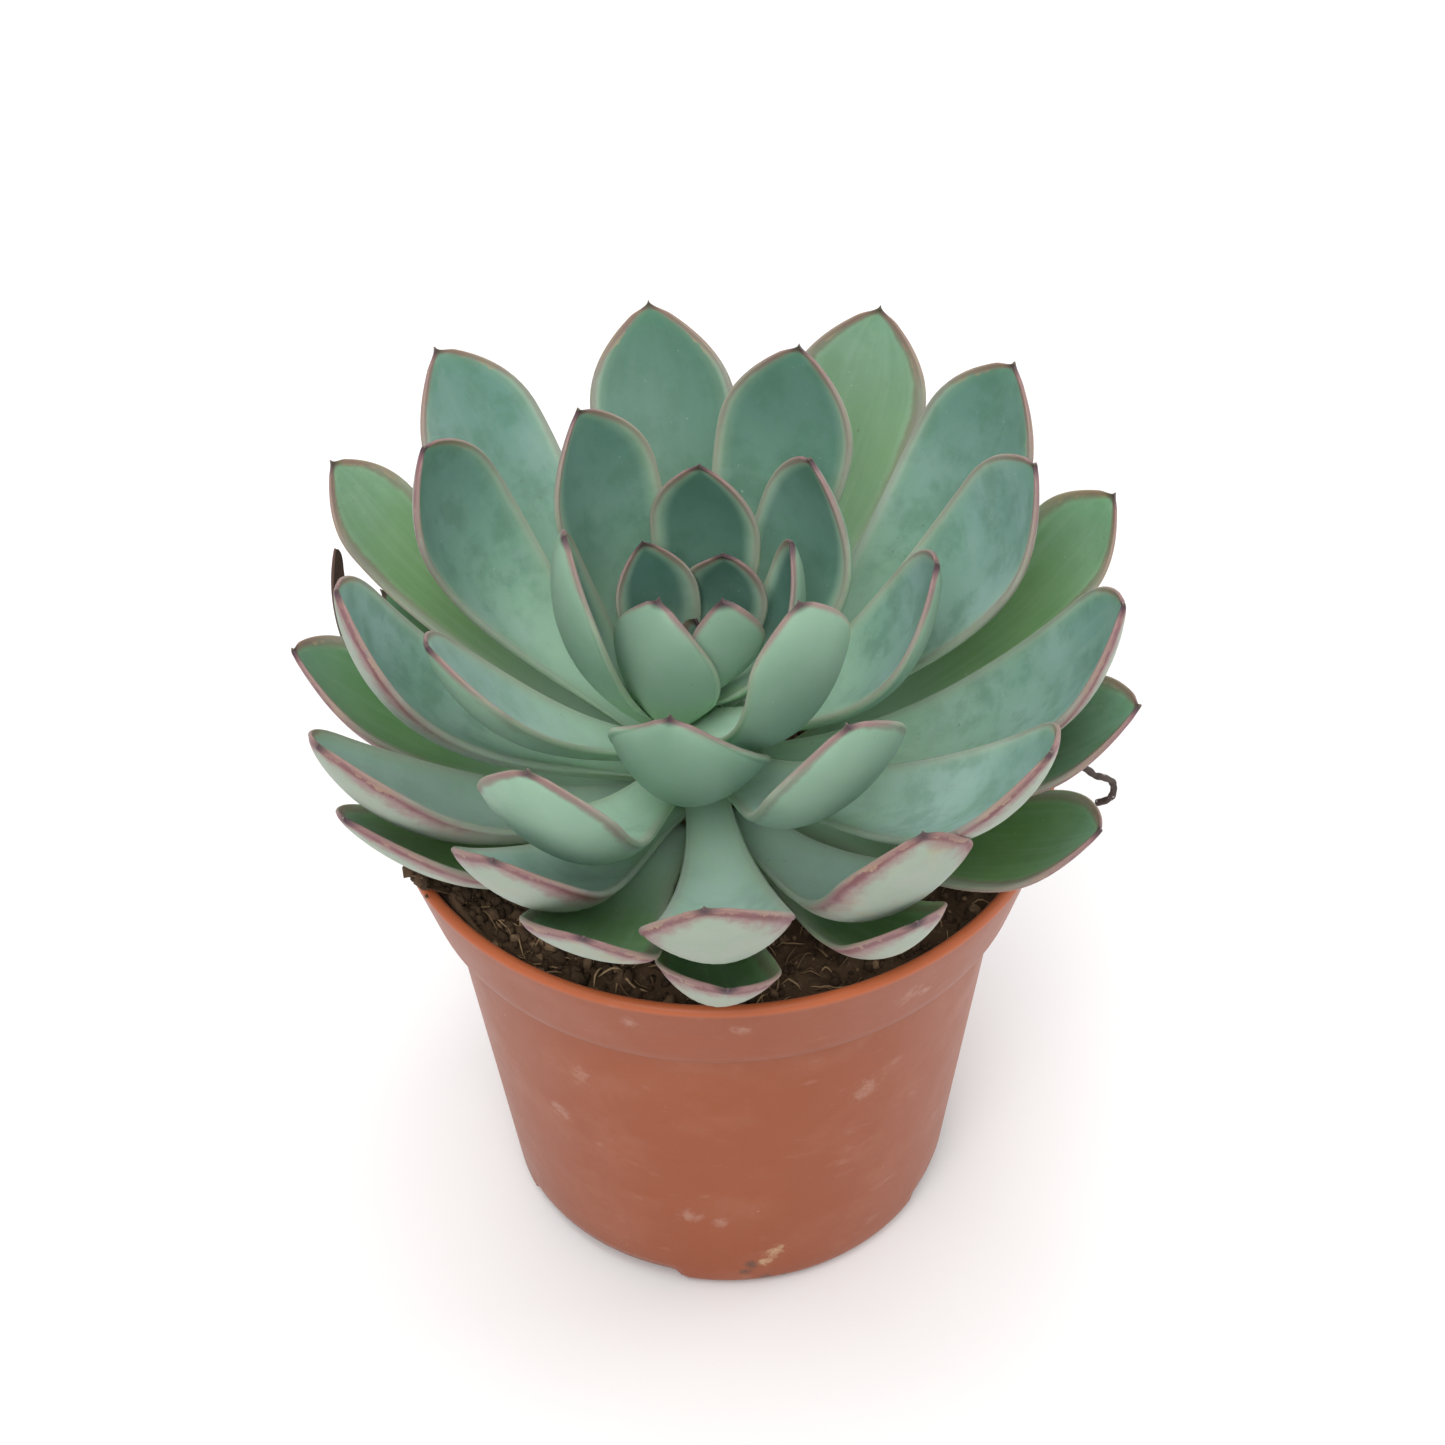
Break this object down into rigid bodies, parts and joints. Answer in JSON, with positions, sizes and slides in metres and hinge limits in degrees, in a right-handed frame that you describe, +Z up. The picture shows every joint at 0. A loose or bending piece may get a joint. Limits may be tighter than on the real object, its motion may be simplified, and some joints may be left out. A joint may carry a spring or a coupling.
{
  "type": "potted echeveria plant",
  "caption": "Potted succulent: an open rosette of thick, cupped, pointed leaves on a short stem, in a tapered round nursery pot filled with peat.",
  "frame": {"origin": "middle of the whole plant's box at its lowest level: the pot's foot stands on z = 0, and the pot's own middle is 1.4 mm to +X and 12.9 mm to +Y of the origin, because the rosette leans forward", "axes": "+Z up along the pot's middle, -Y the front that the rosette leans to, +X the viewer's right"},
  "size_m": [0.1422, 0.1458, 0.1764],
  "materials": {
    "pot_plastic": "satin terracotta-coloured plastic, dusty",
    "peat": "loose dark peat with straw-coloured fibres",
    "stem_skin": "dull, scarred plant stem",
    "leaf_skin": "blue-green leaf with a pale waxy bloom and thin red margins",
    "bud_skin": "young yellow-green leaf",
    "withered_leaf": "dry, dark, wrinkled leaf",
    "dry_stalk": "dry, rough, grey-brown stalk"
  },
  "bodies": {
    "root": {"pot": "pot_plastic", "soil": "peat", "stem": "stem_skin", "leaf_01": "leaf_skin", "leaf_02": "leaf_skin", "leaf_03": "leaf_skin", "leaf_04": "leaf_skin", "leaf_05": "leaf_skin", "leaf_06": "leaf_skin", "leaf_07": "leaf_skin", "leaf_08": "leaf_skin", "leaf_09": "leaf_skin", "leaf_10": "leaf_skin", "leaf_11": "leaf_skin", "leaf_12": "leaf_skin", "leaf_13": "leaf_skin", "leaf_14": "leaf_skin", "leaf_15": "leaf_skin", "leaf_16": "leaf_skin", "leaf_17": "leaf_skin", "leaf_18": "leaf_skin", "leaf_19": "leaf_skin", "leaf_20": "leaf_skin", "leaf_21": "leaf_skin", "leaf_22": "leaf_skin", "leaf_23": "leaf_skin", "leaf_24": "leaf_skin", "leaf_25": "leaf_skin", "leaf_26": "leaf_skin", "leaf_27": "leaf_skin", "leaf_28": "leaf_skin", "leaf_29": "leaf_skin", "leaf_30": "leaf_skin", "leaf_31": "leaf_skin", "leaf_32": "leaf_skin", "leaf_33": "leaf_skin", "leaf_34": "leaf_skin", "leaf_35": "leaf_skin", "leaf_36": "leaf_skin", "leaf_37": "leaf_skin", "leaf_38": "leaf_skin", "leaf_39": "leaf_skin", "leaf_40": "leaf_skin", "leaf_41": "leaf_skin", "leaf_42": "leaf_skin", "leaf_43": "leaf_skin", "leaf_44": "leaf_skin", "bud_leaf_1": "bud_skin", "bud_leaf_2": "bud_skin", "bud_leaf_3": "bud_skin", "dried_leaf": "withered_leaf", "dried_stalk": "dry_stalk"}
  },
  "joints": []
}
